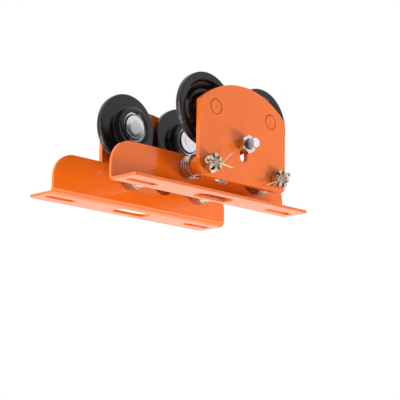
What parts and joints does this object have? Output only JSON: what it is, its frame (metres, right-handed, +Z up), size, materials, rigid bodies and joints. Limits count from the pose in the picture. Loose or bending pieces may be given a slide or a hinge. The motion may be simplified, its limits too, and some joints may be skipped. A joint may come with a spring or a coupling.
{
  "type": "manual beam trolley",
  "caption": "Push-type trolley that rolls on the lower flange of an I-beam, with arched side plates, flanged wheels and folded slotted brackets that carry the load below",
  "frame": {"origin": "in the plane of the bracket flanges' undersides, midway between the two brackets and at the middle of their length", "axes": "+X runs along the beam towards the trolley's short end, +Y goes across the beam from the near side plate to the far one, +Z is up"},
  "size_m": [0.241, 0.1842, 0.1258],
  "materials": {
    "orange_paint": "glossy orange powder coat",
    "black_enamel": "glossy black enamel on turned steel",
    "yellow_zinc": "zinc plating with yellow passivation",
    "white_zinc": "bright zinc plating",
    "bearing_steel": "ground bearing steel",
    "black_rubber": "matte black seal rubber"
  },
  "bodies": {
    "frame": {"bracket_near": "orange_paint", "bracket_far": "orange_paint", "side_plate_near": "orange_paint", "side_plate_far": "orange_paint", "sleeves_near": "orange_paint", "sleeves_far": "orange_paint", "cross_shaft_left": "yellow_zinc", "cross_shaft_right": "yellow_zinc", "spacer_rings_left": "yellow_zinc", "spacer_rings_right": "yellow_zinc", "washers_near_left": "white_zinc", "washers_near_right": "white_zinc", "washers_far_left": "white_zinc", "washers_far_right": "white_zinc", "castle_nut_near_left": "yellow_zinc", "castle_nut_near_right": "yellow_zinc", "castle_nut_far_left": "yellow_zinc", "castle_nut_far_right": "yellow_zinc", "split_pin_near_left": "yellow_zinc", "split_pin_near_right": "yellow_zinc", "split_pin_far_left": "yellow_zinc", "split_pin_far_right": "yellow_zinc", "axle_near_left": "white_zinc", "axle_near_right": "white_zinc", "axle_far_left": "white_zinc", "axle_far_right": "white_zinc", "axle_washer_near_left": "white_zinc", "axle_washer_near_right": "white_zinc", "axle_washer_far_left": "white_zinc", "axle_washer_far_right": "white_zinc", "bearing_inner_near_left": "bearing_steel", "bearing_inner_near_right": "bearing_steel", "bearing_inner_far_left": "bearing_steel", "bearing_inner_far_right": "bearing_steel"},
    "roller_near_left": {"wheel_near_left": "black_enamel", "bearing_outer_near_left": "bearing_steel", "bearing_seals_near_left": "black_rubber", "snap_ring_near_left": "bearing_steel", "ball_cage_near_left": "bearing_steel"},
    "roller_near_right": {"wheel_near_right": "black_enamel", "bearing_outer_near_right": "bearing_steel", "bearing_seals_near_right": "black_rubber", "snap_ring_near_right": "bearing_steel", "ball_cage_near_right": "bearing_steel"},
    "roller_far_left": {"wheel_far_left": "black_enamel", "bearing_outer_far_left": "bearing_steel", "bearing_seals_far_left": "black_rubber", "snap_ring_far_left": "bearing_steel", "ball_cage_far_left": "bearing_steel"},
    "roller_far_right": {"wheel_far_right": "black_enamel", "bearing_outer_far_right": "bearing_steel", "bearing_seals_far_right": "black_rubber", "snap_ring_far_right": "bearing_steel", "ball_cage_far_right": "bearing_steel"},
    "guard_near": {"guard_stud_near": "white_zinc", "guard_nuts_near": "white_zinc"},
    "guard_far": {"guard_stud_far": "white_zinc", "guard_nuts_far": "white_zinc"}
  },
  "joints": [
    {"name": "wheel_near_left_spin", "type": "hinge", "parent": "frame", "child": "roller_near_left", "pos_m": [-0.0125, -0.05285, 0.088], "axis": [0, 1, 0], "continuous": true},
    {"name": "wheel_near_right_spin", "type": "hinge", "parent": "frame", "child": "roller_near_right", "pos_m": [0.0675, -0.05285, 0.088], "axis": [0, 1, 0], "continuous": true},
    {"name": "wheel_far_left_spin", "type": "hinge", "parent": "frame", "child": "roller_far_left", "pos_m": [-0.0125, 0.05285, 0.088], "axis": [0, 1, 0], "continuous": true},
    {"name": "wheel_far_right_spin", "type": "hinge", "parent": "frame", "child": "roller_far_right", "pos_m": [0.0675, 0.05285, 0.088], "axis": [0, 1, 0], "continuous": true},
    {"name": "guard_near_slide", "type": "slide", "parent": "frame", "child": "guard_near", "axis": [0, 0, 1], "range_m": [-0.012, 0]},
    {"name": "guard_far_slide", "type": "slide", "parent": "frame", "child": "guard_far", "axis": [0, 0, 1], "range_m": [-0.012, 0]}
  ]
}
